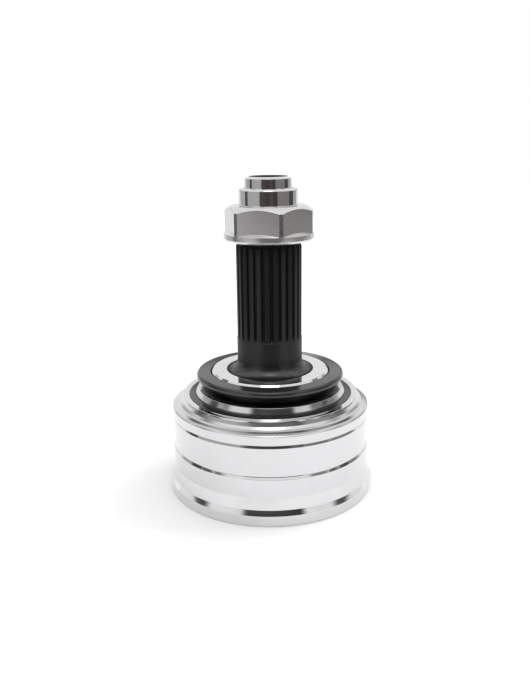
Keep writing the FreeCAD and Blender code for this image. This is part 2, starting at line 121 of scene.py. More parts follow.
def gridMesh(name, grid, poles=None, looped=False):
    # quads between neighbouring rows and columns; columns always close, rows close if looped, else each end
    # gets a fan of triangles to its pole
    rows, columns = grid.shape[:2]
    index = np.arange(rows * columns).reshape(rows, columns)
    if looped:
        index = np.vstack([index, index[:1]])
    beside = np.roll(index, -1, 1)
    faces = [np.stack([index[:-1], beside[:-1], beside[1:], index[1:]], -1).reshape(-1, 4)]
    vertices = grid.reshape(-1, 3)
    if poles is not None:
        vertices = np.vstack([vertices, poles])
        foot, top = np.full(columns, rows * columns), np.full(columns, rows * columns + 1)
        faces.append(np.stack([foot, beside[0], index[0]], -1))
        faces.append(np.stack([index[-1], beside[-1], top], -1))
    return meshFrom(name, vertices, faces)


# Finishes

class Signal:
    # a socket that takes part in arithmetic, so that a mask reads as a sum
    def __init__(self, finish, socket):
        self.finish, self.socket = finish, socket

    def combine(self, operation, first, second):
        return self.finish.node("ShaderNodeMath", {"operation": operation}, {0: first, 1: second})

    def __add__(self, other):
        return self.combine("ADD", self, other)

    def __radd__(self, other):
        return self.combine("ADD", other, self)

    def __sub__(self, other):
        return self.combine("SUBTRACT", self, other)

    def __rsub__(self, other):
        return self.combine("SUBTRACT", other, self)

    def __mul__(self, other):
        return self.combine("MULTIPLY", self, other)

    def __rmul__(self, other):
        return self.combine("MULTIPLY", other, self)

    def __truediv__(self, other):
        return self.combine("DIVIDE", self, other)

    def __rtruediv__(self, other):
        return self.combine("DIVIDE", other, self)

    def __pow__(self, other):
        return self.combine("POWER", self, other)


class Finish:
    def __init__(self, name):
        self.material = bpy.data.materials.new(name)
        self.material.use_nodes = True
        self.tree = self.material.node_tree
        self.tree.nodes.clear()
        self.place = self.node("ShaderNodeTexCoord", output="Object")
        self.x, self.y, self.z = (self.node("ShaderNodeSeparateXYZ", {}, {0: self.place}, k) for k in range(3))
        self.radius = (self.x * self.x + self.y * self.y) ** 0.5

    def node(self, kind, settings=None, sockets=None, output=0):
        made = self.tree.nodes.new(kind)
        for key, value in (settings or {}).items():
            setattr(made, key, value)
        for key, value in (sockets or {}).items():
            if isinstance(value, Signal):
                self.tree.links.new(value.socket, made.inputs[key])
            else:
                made.inputs[key].default_value = value
        return Signal(self, made.outputs[output]) if made.outputs else None

    def rise(self, value, low, high):
        # 0 below low, 1 above high and a smooth step between
        return self.node("ShaderNodeMapRange", {"interpolation_type": "SMOOTHSTEP"},
                         {"Value": value, "From Min": low, "From Max": high})

    def band(self, value, low, high, soft):
        return self.rise(value, low - soft, low + soft) * (1 - self.rise(value, high - soft, high + soft))

    def noise(self, scale, detail, roughness):
        return self.node("ShaderNodeTexNoise", {},
                         {"Vector": self.place, "Scale": scale, "Detail": detail, "Roughness": roughness})

    def rings(self, perMillimetre):
        # lines left by turning: noise along the outline, which counts both height and radius
        along = (self.z + self.radius * 0.83) * (1000 * perMillimetre)
        return self.node("ShaderNodeTexNoise", {"noise_dimensions": "1D"},
                         {"W": along, "Scale": 1.0, "Detail": 2.0, "Roughness": 0.6})

    def tint(self, mask, low, high):
        # a colour that goes from low to high as the mask goes from 0 to 1
        low, high = (c if isinstance(c, Signal) else (*c, 1) for c in (low, high))
        return self.node("ShaderNodeMix", {"data_type": "RGBA"}, {0: mask, 6: low, 7: high}, 2)

    def bump(self, height, distance):
        return self.node("ShaderNodeBump", {},
                         {"Height": height, "Distance": distance * millimetre, "Strength": 1.0})

    def surface(self, **sockets):
        named = {key.replace("_", " ").title().replace("Ior", "IOR"): value for key, value in sockets.items()}
        named = {key: (*value, 1) if isinstance(value, tuple) and len(value) == 3 else value
                 for key, value in named.items()}
        shader = self.node("ShaderNodeBsdfPrincipled", {}, named)
        self.node("ShaderNodeOutputMaterial", {"target": "ALL"}, {"Surface": shader})
        return self


# where a finish changes on its piece, in metres: heights above the foot, and radii
marks = {
    # bossHeights and bossWall bound the painted shade on the boss's wall under the seal ring
    "bossHeights": (0.044, 0.0564), "bossWall": (0.02765, 0.0277),
    "shoulderHeights": (0.0405, 0.0452), "shoulderRadii": (0.0412, 0.0414),
    "hexFoot": (0.1212, 0.1218), "hexCorner": (0.02010, 0.02018),
    "fillet": (0.0572, 0.0577), "neck": (0.0592, 0.0624), "teethFoot": (0.0722, 0.0732),
    "toothTips": (0.0139, 0.0148), "underNut": (0.109, 0.117),
    "pilotHeights": (0.1380, 0.14556), "pilotRadii": (0.00863, 0.0087),
    "endHeights": (0.14552, 0.14554), "endRadii": (0.0085, 0.0087),
}
# the black of painted shade, used where shade falls in the gap under the seal ring
paintedShadeBlack = (0.006, 0.006, 0.006)


def turnedSteel(name, colour, roughness, lines=2.6, lineDepth=0.00035, mottle=0.03, smear=0.10, bossPaintedShade=False,
                satinBelow=0, paintedShadeWithin=0, softShoulder=0):
    # the boss option paints the boss's wall under the seal ring black, a painted shade for the gap there, and the
    # within option paints all within that radius black, a painted shade under the seal ring; below the height
    # satinBelow the nut is duller, less so at its corners; softShoulder roughens the bell's shoulder
    finish = Finish(name)
    cloud = finish.noise(70, 4, 0.6)
    fine = finish.noise(900, 3, 0.6)
    rings = finish.rings(lines)
    worn = finish.rise(cloud, 0.46, 0.66)
    shade = finish.tint(worn * smear + fine * mottle, colour, tuple(c * 0.72 for c in colour))
    rough = roughness + worn * (roughness * 0.5) + rings * (roughness * 0.25) + fine * 0.02
    metal = 1.0
    if satinBelow:
        corner = finish.rise(finish.radius, *marks["hexCorner"]) * finish.rise(finish.z, *marks["hexFoot"])
        below = 1 - finish.rise(finish.z, satinBelow - 0.0001, satinBelow + 0.0001)
        rough = rough + (0.17 - 0.10 * corner) * below
    if bossPaintedShade:
        # painted shade: the boss's wall between the shield and the seal ring is painted black, as if in the gap's
        # shade
        wall = finish.band(finish.z, *marks["bossHeights"], 0.0001)
        metal = 1 - wall * (1 - finish.rise(finish.radius, *marks["bossWall"]))
        shade = finish.tint(metal, paintedShadeBlack, shade)
        rough = rough + 0.3 * (1 - metal)
    if softShoulder:
        shoulder = finish.band(finish.z, *marks["shoulderHeights"], 0.0002)
        rough = rough + softShoulder * (shoulder * finish.rise(finish.radius, *marks["shoulderRadii"]))
    if paintedShadeWithin:
        # painted shade: everything within this radius is painted black, for the shade under the seal ring
        outsidePaintedShade = finish.rise(finish.radius, paintedShadeWithin - 0.003, paintedShadeWithin)
        shade = finish.tint(outsidePaintedShade, paintedShadeBlack, shade)
        rough = rough + 0.2 * (1 - outsidePaintedShade)
    return finish.surface(base_color=shade, metallic=metal, roughness=rough, normal=finish.bump(rings, lineDepth))


# the bell's steel carries a painted shade on the boss's wall under the seal ring
bellSteel = turnedSteel("bellSteel", (0.69, 0.69, 0.70), 0.06, bossPaintedShade=True, softShoulder=0.13)
nutPlate = turnedSteel("nutPlate", (0.70, 0.69, 0.69), 0.07, lines=3.4, satinBelow=0.1333)
# the shield is painted black within 33.3 mm of the axis, a painted shade under the seal ring
shieldSteel = turnedSteel("shieldSteel", (0.62, 0.62, 0.63), 0.11, lines=3.0, paintedShadeWithin=0.0333)
ballSteel = turnedSteel("ballSteel", (0.72, 0.72, 0.73), 0.04, lines=0.6, lineDepth=0.0)
raceSteel = turnedSteel("raceSteel", (0.40, 0.39, 0.375), 0.24, lines=3.0, smear=0.35)
cageSteel = turnedSteel("cageSteel", (0.20, 0.20, 0.205), 0.30, lines=2.2, smear=0.30)
springSteel = turnedSteel("springSteel", (0.16, 0.16, 0.17), 0.28, lines=0.8)


def phosphateSteel():
    # black phosphate on the spline, neck and tip, with bright ground metal on the pilot end
    finish = Finish("stubFinish")
    cloud = finish.noise(160, 4, 0.6)
    grain = finish.noise(2600, 2, 0.5)
    rings = finish.rings(2.2)
    bright = finish.band(finish.z, *marks["pilotHeights"], 0.00006)
    bright = bright * finish.rise(finish.radius, *marks["pilotRadii"])
    shade = finish.tint(cloud * 0.6 + grain * 0.3, (0.0052, 0.0046, 0.0052), (0.0115, 0.0104, 0.0112))
    colour = finish.tint(bright, shade, (0.66, 0.66, 0.67))
    rough = (0.40 + cloud * 0.08 + grain * 0.05) * (1 - bright) + (0.07 + rings * 0.03) * bright
    # oil lies on the fillet, thinner on the neck and on the teeth; in the grooves and on the teeth just under the nut
    # the coat is thinned further, a painted shade that darkens them where shade falls
    teeth = finish.rise(finish.z, *marks["teethFoot"])
    oiledTips = finish.rise(finish.radius, *marks["toothTips"]) * (1 - finish.rise(finish.z, *marks["underNut"]))
    # painted shade: the coat is thinned in the grooves and on the teeth's top under the nut, so that they read dark
    grooveAndNutShade = teeth * (1 - oiledTips)
    oilAndShade = 0.42 * finish.rise(finish.z, *marks["fillet"]) - 0.28 * finish.rise(finish.z, *marks["neck"])
    oilAndShade = oilAndShade - 0.03 * teeth - 0.10 * grooveAndNutShade
    shader = finish.node("ShaderNodeBsdfPrincipled", {}, {
        "Base Color": colour, "Metallic": bright, "Roughness": rough, "IOR": 1.16, "Coat IOR": 2.4,
        "Coat Roughness": 0.28, "Coat Weight": oilAndShade * (1 - bright),
        "Normal": finish.bump(grain * 0.5 * (1 - bright) + rings * 0.4, 0.003)})
    dull = finish.node("ShaderNodeBsdfDiffuse", {}, {"Color": (0.02, 0.02, 0.02, 1)})
    end = finish.rise(finish.z, *marks["endHeights"]) * (1 - finish.rise(finish.radius, *marks["endRadii"]))
    mixed = finish.node("ShaderNodeMixShader", {}, {0: end, 1: shader, 2: dull})
    finish.node("ShaderNodeOutputMaterial", {"target": "ALL"}, {"Surface": mixed})
    return finish


def mouldedRubber(name, low, high, roughness):
    finish = Finish(name)
    cloud = finish.noise(120, 4, 0.6)
    grain = finish.noise(3200, 2, 0.5)
    shade = finish.tint(cloud, low, high)
    return finish.surface(base_color=shade, metallic=0.0, roughness=roughness + cloud * 0.12 + grain * 0.05,
                          ior=1.6, normal=finish.bump(grain, 0.003))


stubFinish = phosphateSteel()
sealRubber = mouldedRubber("sealRubber", (0.011, 0.011, 0.0115), (0.022, 0.022, 0.0235), 0.10)
lipRubber = mouldedRubber("lipRubber", (0.007, 0.007, 0.007), (0.014, 0.014, 0.0145), 0.14)
print("finishes ready")


# Bell: turned outside, with a spherical cavity and six ball tracks inside

bell = {
    "footRadius": 48.59, "footHeight": 4.95, "footEdge": 0.3, "mouthRadius": 39.4975,
    "slopeRadius": 47.4975, "slopeTop": 7.25, "landRadius": 46.4475, "flareTop": 12.55,
    "wallRadius": 46.0975, "grooveDepth": 0.6, "lowerGroove": 21.05, "upperGroove": 35.401, "grooveHeight": 1.5,
    "upperLandRadius": 46.3975, "upperLandTop": 40.801, "ledge": 41.251, "crownEdge": 42.1475, "crown": 45.851,
    "recessRadius": 38.3975, "recess": 44.351, "bossRadius": 27.4975, "seat": 57.251, "seatInner": 20.3,
    "bossChamfer": 0.8, "grooveSide": 0.3, "grooveFloor": 0.45, "shoulderEdge": 0.45, "landFillet": 3.0,
    "rim": [(-1.0, 0, 0.3), (-0.6, -0.6, 0.3), (0, -2.1, 0.12), (1.0, -3.1)],  # from the crown's edge, with rounding
    "ledges": [(2.2, 1.25, 0.3), (2.6, 0.25)],  # out from the crown's edge and up from the ledge
    "tracks": 6, "trackColumns": 20, "landColumns": 20,
}
ballJoint = {
    "height": 20.5, "ballRadius": 7.9375, "pitchRadius": 29.5, "offset": 3.0, "trackGap": 0.25,
    "cavityRadius": 32.3, "cavityTop": 48.0, "cavityFoot": 11.0, "trackEnd": 30.0, "raceRadius": 27.6,
    "raceHalf": 11.5,
}
trackRadius = ballJoint["ballRadius"] + ballJoint["trackGap"]
trackCircle = math.hypot(ballJoint["pitchRadius"], ballJoint["offset"])


def sectorBearings(across, spec):
    # columns of every sector: across the track first, then evenly over the land to the next track
    step = circle / spec["tracks"]
    land = np.linspace(0, 1, spec["landColumns"] + 1)[1:-1]
    edge, nextEdge = across[:, -1:], step + across[:, :1]
    sector = np.hstack([across, edge + (nextEdge - edge) * land])
    centres = step * (np.arange(spec["tracks"]) + 0.5)
    return (centres[None, :, None] + sector[:, None, :]).reshape(len(sector), -1)


def trackRows(heights, outside, spec, side):
    # For each height the cut by a track is found in closed form. A tube of radius t follows a circle of radius c
    # about a level axis; at sideways distance s it reaches sqrt((c + q)^2 - h^2) out, with q = sqrt(t^2 - s^2)
    # and h the height over that axis, or c - q on the inner race. It leaves a round outside of radius r where
    # q = (r^2 - t^2 + h^2 - c^2) / 2c.
    level = ballJoint["height"] - side * ballJoint["offset"]
    h = heights - level
    q = side * (outside ** 2 - trackRadius ** 2 + h ** 2 - trackCircle ** 2) / (2 * trackCircle)
    half = np.sqrt(np.clip(trackRadius ** 2 - q ** 2, 0.02, None))
    half = np.where(q > trackRadius, 0.15, half)
    lean = np.arcsin(np.clip(half / trackRadius, 0, 1))[:, None] * np.linspace(-1, 1, spec["trackColumns"] + 1)
    sideways = trackRadius * np.sin(lean)
    deep = trackRadius * np.cos(lean)
    reach = np.sqrt(np.clip((trackCircle + side * deep) ** 2 - h[:, None] ** 2, 0, None))
    return sideways, reach


def bellGrid():
    s = bell
    columns = s["tracks"] * (s["trackColumns"] + s["landColumns"])
    g, d = s["grooveHeight"], s["grooveDepth"]
    w = s["wallRadius"]
    outside = outline([
        (s["seatInner"], s["seat"]),
        (s["bossRadius"] - s["bossChamfer"], s["seat"], 0.12), (s["bossRadius"], s["seat"] - s["bossChamfer"], 0.12),
        (s["bossRadius"], s["recess"]),
        (s["recessRadius"], s["recess"]),
        (s["recessRadius"], s["crown"], 0.12),
        *((s["crownEdge"] + out, s["crown"] + up, *rounding) for out, up, *rounding in s["rim"]),
        *((s["crownEdge"] + out, s["ledge"] + up, *rounding) for out, up, *rounding in s["ledges"]),
        (s["upperLandRadius"] - s["shoulderEdge"], s["ledge"], 0.12),
        (s["upperLandRadius"], s["upperLandTop"], 0.25),
        (s["upperLandRadius"], s["upperGroove"] + g, 0.08),
        (w - d, s["upperGroove"] + g - s["grooveSide"], 0.06),
        (w - d, s["upperGroove"] + g - s["grooveFloor"], 0.06),
        (w, s["upperGroove"], 0.15),
        (w, s["lowerGroove"] + g, 0.08),
        (w - d, s["lowerGroove"] + g - s["grooveSide"], 0.06),
        (w - d, s["lowerGroove"] + g - s["grooveFloor"], 0.06),
        (s["landRadius"], s["lowerGroove"], 0.15),
        (s["landRadius"], s["flareTop"], s["landFillet"]),
        (s["slopeRadius"], s["slopeTop"], 0.6),
        (s["footRadius"], s["footHeight"], 0.35),
        (s["footRadius"], s["footEdge"], 0.1), (s["footRadius"] - s["footEdge"], 0, 0.1),
    ])
    even = circle / s["tracks"] * 0.5 + (np.arange(columns) - s["trackColumns"] / 2) * circle / columns
    skin = turnedGrid(outside, even)
    j = ballJoint
    cone = np.linspace(0, j["cavityFoot"], 23)
    mouthFoot = math.sqrt(j["cavityRadius"] ** 2 - (j["cavityFoot"] - j["height"]) ** 2)
    coneRadius = s["mouthRadius"] + (mouthFoot - s["mouthRadius"]) * cone / j["cavityFoot"]
    lean = np.radians(np.linspace(math.degrees(math.asin((j["cavityFoot"] - j["height"]) / j["cavityRadius"])),
                                  math.degrees(math.asin((j["cavityTop"] - j["height"]) / j["cavityRadius"])), 48))
    heights = np.concatenate([cone, j["height"] + j["cavityRadius"] * np.sin(lean[1:])])
    wall = np.concatenate([coneRadius, j["cavityRadius"] * np.cos(lean[1:])])
    sideways, reach = trackRows(heights, wall, s, 1)
    # above its end the track is a ball's socket: distance t from the end point of the track's circle
    endOut = trackCircle * math.cos(math.radians(j["trackEnd"]))
    endHeight = j["height"] - j["offset"] + trackCircle * math.sin(math.radians(j["trackEnd"]))
    past = np.degrees(np.arctan2(heights - j["height"] + j["offset"], wall)) > j["trackEnd"]
    gap = heights - endHeight
    apart = j["cavityRadius"] ** 2 - (heights - j["height"]) ** 2 - trackRadius ** 2
    plane = (apart + endOut ** 2 + gap ** 2) / (2 * endOut)
    socketHalf = np.sqrt(np.clip(wall ** 2 - plane ** 2, 0.02, None))
    spread = np.linspace(-1, 1, s["trackColumns"] + 1)
    socketSide = socketHalf[:, None] * np.sin(spread * math.pi / 2)
    socketReach = endOut + np.sqrt(np.clip(trackRadius ** 2 - socketSide ** 2 - gap[:, None] ** 2, 0, None))
    usesSocket = past[:, None]
    sideways = np.where(usesSocket, socketSide, sideways)
    reach = np.where(usesSocket, socketReach, reach)
    # no track where the wall is already outside it
    plain = np.sqrt(np.clip(wall[:, None] ** 2 - sideways ** 2, 0, None))
    reach = np.maximum(reach, plain)
    trackOut, trackBearing = np.hypot(reach, sideways), np.arctan2(sideways, reach)
    bearings = sectorBearings(trackBearing, s)
    landOut = np.repeat(wall[:, None], s["landColumns"] - 1, 1)
    trackOut[:, 0] = trackOut[:, -1] = wall
    out = np.tile(np.hstack([trackOut, landOut]), (1, s["tracks"]))
    inside = np.stack([out * np.cos(bearings), out * np.sin(bearings), np.repeat(heights[:, None], columns, 1)], -1)
    return np.vstack([skin, inside])


grid = bellGrid()
print("bell grid", grid.shape)
poles = np.array([[0, 0, bell["seat"]], [0, 0, ballJoint["cavityTop"]]])
bellPiece = addPiece(gridMesh("bell", grid, poles), "outer_race", bellSteel, ["outer_race"])


# Stub shaft: fillet, neck, spline, thread core and pilot end

stub = {
    "flareRadius": 20.4, "seat": 57.251, "neckRadius": 15.1, "fillet": 5.3,
    "splineFoot": 72.851, "splineRadius": 14.9, "splineTop": 117.751, "shoulderDrop": 3.0, "landEnd": 13.0,
    "teeth": 25, "depth": 1.15, "grooveWidth": 1.7, "rootWidth": 0.8, "runout": 5.0, "tipEdge": 0.16,
    "reliefRadius": 10.9, "reliefTop": 120.151, "coreRadius": 11.3, "threadTop": 138.951,
    "pilotRadius": 10.6, "tip": 145.551, "tipChamfer": 1.95, "tipChamferHeight": 0.8, "drillRadius": 3.1,
    "drillDepth": 5.0,
}


def splineSection(radius, depth):
    # Bearings and radii of one tooth pitch, groove in the middle, for each row's tip radius and groove depth.
    # The groove is rootWidth wide at its floor and opens evenly to grooveWidth at full depth.
    s = stub
    share = np.clip(depth / s["depth"], 0, 1)
    edge = s["rootWidth"] / 2 + (s["grooveWidth"] - s["rootWidth"]) / 2 * share
    edgeBearing = np.arcsin(edge / radius)
    root = radius - depth
    rootBearing = np.arcsin(s["rootWidth"] / 2 / root)
    pitch = circle / s["teeth"]
    ease = np.minimum(s["tipEdge"], depth * 0.4)
    easeBearing = ease / radius
    land = [edgeBearing + easeBearing + (pitch / 2 - edgeBearing - easeBearing) * k for k in (0, 0.22, 0.6, 1)]
    bearing = [land[3], land[2], land[1], land[0], edgeBearing + easeBearing * 0.35, edgeBearing - easeBearing * 0.2,
               rootBearing + (edgeBearing - rootBearing) * 0.25, rootBearing, rootBearing * 0.5]
    out = [radius, radius, radius, radius, radius - ease * 0.28, radius - ease,
           root + depth * 0.16, root + depth * 0.02, root]
    bearing, out = np.stack(bearing, -1), np.stack(out, -1)
    middle = np.zeros((len(radius), 1))
    bearing = np.hstack([-bearing[:, :-1], -bearing[:, -1:], middle, bearing[:, :0:-1]])
    out = np.hstack([out, root[:, None], out[:, :0:-1]])
    return bearing, out


def stubGrid():
    s = stub
    flare = arcPoints((s["flareRadius"], s["seat"] + s["fillet"]), s["fillet"], 270, 180, 22)
    below = np.vstack([[(s["flareRadius"] - 0.2, s["seat"] - 0.6)], flare,
                       outline([flare[-1], (s["neckRadius"], s["splineFoot"] - 0.2, 0.1),
                                (s["splineRadius"], s["splineFoot"])])[1:]])
    reach = s["runout"] - s["depth"]
    length = math.sqrt(s["runout"] ** 2 - reach ** 2)
    step = np.linspace(0, 1, 14)[1:] ** 1.4 * length
    runoutDepth = np.sqrt(s["runout"] ** 2 - (length - step) ** 2) - reach
    top = s["splineTop"]
    shoulder = arcPoints((s["splineRadius"] - s["depth"], top - s["shoulderDrop"]), s["depth"], 0, 84, 7)
    splined = np.array([(s["splineRadius"], s["splineFoot"] + h, d) for h, d in zip(step, runoutDepth)]
                       + [(s["splineRadius"], top - s["shoulderDrop"] - 0.6, s["depth"])]
                       + [(r, h, s["depth"] - (s["splineRadius"] - r)) for r, h in shoulder])
    above = outline([
        (s["splineRadius"] - s["depth"] - 0.05, shoulder[-1, 1] + 0.02), (s["landEnd"], top, 0.2),
        (s["reliefRadius"], top, 0.3),
        (s["reliefRadius"], s["reliefTop"], 0.3), (s["coreRadius"], s["reliefTop"] + 0.4),
        (s["coreRadius"], s["threadTop"] - 0.7), (s["pilotRadius"], s["threadTop"], 0.1),
        (s["pilotRadius"], s["tip"] - s["tipChamferHeight"], 0.2),
        (s["pilotRadius"] - s["tipChamfer"], s["tip"], 0.35),
        (s["drillRadius"], s["tip"], 0.1), (0.25, s["tip"] - s["drillDepth"] + 0.3)])
    radius = np.concatenate([below[:, 0], splined[:, 0], above[:, 0]])
    height = np.concatenate([below[:, 1], splined[:, 1], above[:, 1]])
    depth = np.concatenate([0 * below[:, 0], splined[:, 2], 0 * above[:, 0]])
    bearing, out = splineSection(radius, depth)
    turns = circle / s["teeth"] * np.arange(s["teeth"])
    bearing = (turns[None, :, None] + bearing[:, None, :]).reshape(len(radius), -1)
    out = np.tile(out, (1, s["teeth"]))
    return np.stack([out * np.cos(bearing), out * np.sin(bearing), height[:, None] + 0 * out], -1)


grid = stubGrid()
poles = np.array([[0, 0, stub["seat"] - 0.6], [0, 0, stub["tip"] - stub["drillDepth"]]])
stubPiece = addPiece(gridMesh("stubShaft", grid, poles), "outer_race", stubFinish, ["outer_race"])
stubPiece.data.set_sharp_from_angle(angle=math.radians(28))


# Threads: one ridge of rounded section carried along a helix and tapered to nothing at both ends

thread = {"pitch": 1.5, "foot": 120.9, "top": 137.9, "root": 11.22, "crest": 11.93, "stepsPerTurn": 72}
nutThread = {"pitch": 1.5, "foot": 118.9, "top": 138.4, "root": 12.12, "crest": 11.42, "stepsPerTurn": 72}


def helixRidge(name, s):
    # centre (r cos b, r sin b, z) with z rising one pitch a turn; the section is a trapezium whose height and
    # width shrink to a thread's end over half a turn
    turns = (s["top"] - s["foot"]) / s["pitch"]
    count = int(turns * s["stepsPerTurn"])
    turn = np.linspace(0, turns, count)
    size = np.clip(np.minimum(turn, turns - turn) * 2, 0.02, 1)
    half = s["pitch"] / 2
    rising = [(0, -0.94), (0.35, -0.62), (0.88, -0.17), (1, -0.08)]
    section = np.array(rising + [(depth, -side) for depth, side in rising[::-1]])
    out = s["root"] + (s["crest"] - s["root"]) * section[:, 0] * size[:, None]
    bearing = (turn * circle + (s["foot"] % s["pitch"]) / s["pitch"] * circle)[:, None]
    height = s["foot"] + turn[:, None] * s["pitch"] + section[:, 1] * half * size[:, None]
    grid = np.stack([out * np.cos(bearing), out * np.sin(bearing), height], -1)
    return gridMesh(name, grid, np.stack([grid[0].mean(0), grid[-1].mean(0)]))


addPiece(helixRidge("stubThread", thread), "outer_race", stubFinish, sharp=28)


# Dust shield, dust lip and seal ring

rings = {
    "shield": [(27.4, 44.4), (35.1975, 44.4), (35.1975, 46.901, 0.25), (33.8975, 49.101, 0.3), (27.4, 49.101)],
    "lip": [(35.1975, 44.4), (38.3975, 44.4), (38.3975, 45.82, 0.12), (37.5, 45.98, 0.5), (35.1975, 46.301, 0.2)],
    "seal": [(27.5, 53.251), (34.4975, 53.251, 1.35), (34.4975, 56.351, 1.5), (28.2975, 56.801, 0.15),
             (27.5, 55.601)],
}
for name, corners, finish, node, slotName in (
        ("dustShield", rings["shield"], shieldSteel, "dust_shield", "shield_steel"),
        ("dustLip", rings["lip"], lipRubber, "dust_lip", "black_rubber"),
        ("sealRing", rings["seal"], sealRubber, "seal_ring", "black_rubber")):
    mesh = gridMesh(name, turnedGrid(outline(corners, 6), evenBearings(220)), looped=True)
    addPiece(mesh, "outer_race", finish, [node])


# Cage: a spherical band with six windows

cage = {"outer": 32.1, "inner": 27.8, "half": 12.7875, "windowHalf": 10.3375, "windowHeight": 8.3875, "corner": 4.0,
        "windows": 6, "rows": 5}


def cageMesh():
    # In each sector a window's rim is joined to the sector's edge by straight lines in bearing and height, on the
    # outer and on the inner sphere. A quarter of the rim is a side, half a corner, half a corner and half a top.
    s = cage
    w, h, c = s["windowHalf"], s["windowHeight"], s["corner"]
    side = [(w, z) for z in np.linspace(0, h - c, 5)[:-1]]
    corner = arcPoints((w - c, h - c), c, 0, 90, 9)
    top = [(x, h) for x in np.linspace(w - c, 0, 5)[1:]]
    quarter = np.vstack([side, corner, top])
    edgeUp = np.linspace(0, 1, 9)
    angle = math.pi / s["windows"]
    border = np.vstack([np.stack([edgeUp * 0 + angle, edgeUp * s["half"]], -1)[:-1],
                        np.stack([angle * (1 - edgeUp), edgeUp * 0 + s["half"]], -1)])

    def allRound(part):
        mirrored = part[::-1] * (-1, 1)
        upper = np.vstack([part[:-1], mirrored[:-1]])
        return np.vstack([upper, upper * -1])

    rim, border = allRound(quarter), allRound(border)
    count = len(rim)
    blend = np.linspace(0, 1, s["rows"])[:, None, None]
    sheets = []
    for radius in (s["outer"], s["inner"]):
        level = np.sqrt(radius ** 2 - rim[:, 1] ** 2)
        hole = np.stack([np.arcsin(rim[:, 0] / level), rim[:, 1]], -1)
        flat = hole * (1 - blend) + border * blend
        level = np.sqrt(radius ** 2 - flat[..., 1] ** 2)
        sheets.append(np.stack([flat[..., 0], flat[..., 1], level], -1))
    vertices, faces = [], []
    index = np.arange(2 * s["rows"] * count).reshape(2, s["rows"], count)
    ahead = np.roll(index, -1, 2)
    onEnd = np.isclose(abs(border[:, 1]), s["half"])
    endPairs = onEnd & np.roll(onEnd, -1)
    outer, inner = index
    outerAhead, innerAhead = ahead
    block = [np.stack([outer[:-1], outerAhead[:-1], outerAhead[1:], outer[1:]], -1).reshape(-1, 4),
             np.stack([inner[1:], innerAhead[1:], innerAhead[:-1], inner[:-1]], -1).reshape(-1, 4),
             np.stack([outerAhead[0], outer[0], inner[0], innerAhead[0]], -1),
             np.stack([outer[-1], outerAhead[-1], innerAhead[-1], inner[-1]], -1)[endPairs]]
    for number in range(s["windows"]):
        bearing = circle / s["windows"] * (number + 0.5)
        for sheet in sheets:
            b = sheet[..., 0] + bearing
            vertices.append(np.stack([sheet[..., 2] * np.cos(b), sheet[..., 2] * np.sin(b),
                                      sheet[..., 1] + ballJoint["height"]], -1).reshape(-1, 3))
        faces.append(np.concatenate(block) + number * index.size)
    return np.vstack(vertices), np.concatenate(faces)


vertices, faces = cageMesh()
whole, joined = np.unique(np.round(vertices, 5), axis=0, return_inverse=True)
mesh = meshFrom("ballCage", whole, [joined.reshape(-1)[faces]])
addPiece(mesh, "cage", cageSteel, ["cage"], bevel=0.25)


# Inner race: tracks outside, splined bore inside, with the circlip's groove

race = {"bore": 12.3, "chamfer": 1.0, "sleeve": 15.0, "teeth": 27, "toothDepth": 0.9, "toothWidth": 1.5,
        "clipRadius": 13.25, "clipHeight": 27.7, "clipHalf": 0.95, "tracks": 6, "trackColumns": 20, "landColumns": 12}


def raceGrid():
    # the sphere outside, cut by the tracks, between two flat faces that close on the bore's sleeve
    s, j = race, ballJoint
    lean = np.linspace(-1, 1, 33) * math.asin(j["raceHalf"] / j["raceRadius"])
    heights, outside = j["height"] + j["raceRadius"] * np.sin(lean), j["raceRadius"] * np.cos(lean)
    sideways, reach = trackRows(heights, outside, s, -1)
    out, across = np.hypot(reach, sideways), np.arctan2(sideways, reach)
    out[:, 0] = out[:, -1] = outside
    bearings = sectorBearings(across, s)
    out = np.tile(np.hstack([out, np.repeat(outside[:, None], s["landColumns"] - 1, 1)]), (1, s["tracks"]))
    skin = np.stack([out * np.cos(bearings), out * np.sin(bearings), heights[:, None] + 0 * out], -1)
    even = bearings[0]
    hole = np.stack([s["sleeve"] * np.cos(even), s["sleeve"] * np.sin(even), 0 * even], -1)
    return np.concatenate([skin, (hole + (0, 0, heights[-1]))[None], (hole + (0, 0, heights[0]))[None]])


addPiece(gridMesh("innerRace", raceGrid(), looped=True), "inner_race", raceSteel, ["inner_race"],
         bevel=0.2)


def sleeveGrid():
    # a ring whose bore steps out by the tooth depth over each groove's width
    s, j = race, ballJoint
    low, high = j["height"] - j["raceHalf"], j["height"] + j["raceHalf"]
    c, d = s["chamfer"], s["toothDepth"]
    clipFoot, clipTop = s["clipHeight"] - s["clipHalf"], s["clipHeight"] + s["clipHalf"]
    rows = [(s["sleeve"], low, 0), (s["bore"] + c, low, 0), (s["bore"] + c - d * 0.9, low + c * 0.9, 0),
            (s["bore"], low + c, 1), (s["bore"], clipFoot, 1), (s["clipRadius"], clipFoot, 0),
            (s["clipRadius"], clipTop, 0), (s["bore"], clipTop, 1), (s["bore"], high - c, 1),
            (s["bore"] + c - d * 0.9, high - c * 0.9, 0), (s["bore"] + c, high, 0), (s["sleeve"], high, 0)]
    radius, height, cut = np.array(rows).T
    pitch, half = circle / s["teeth"], s["toothWidth"] / 2 / s["bore"]
    across = np.array([-half, -half * 0.98, 0, half * 0.98, half, half + (pitch - 2 * half) / 2])
    deep = np.array([0, 1, 1, 1, 0, 0])
    out = radius[:, None] + d * cut[:, None] * deep
    out = np.where((cut[:, None] == 0) & (radius[:, None] < s["bore"] + d) & (deep > 0), s["bore"] + d, out)
    bearing = (pitch * np.arange(s["teeth"])[:, None] + across).reshape(-1)
    out = np.tile(out, (1, s["teeth"]))
    return np.stack([out * np.cos(bearing), out * np.sin(bearing), height[:, None] + 0 * out], -1)


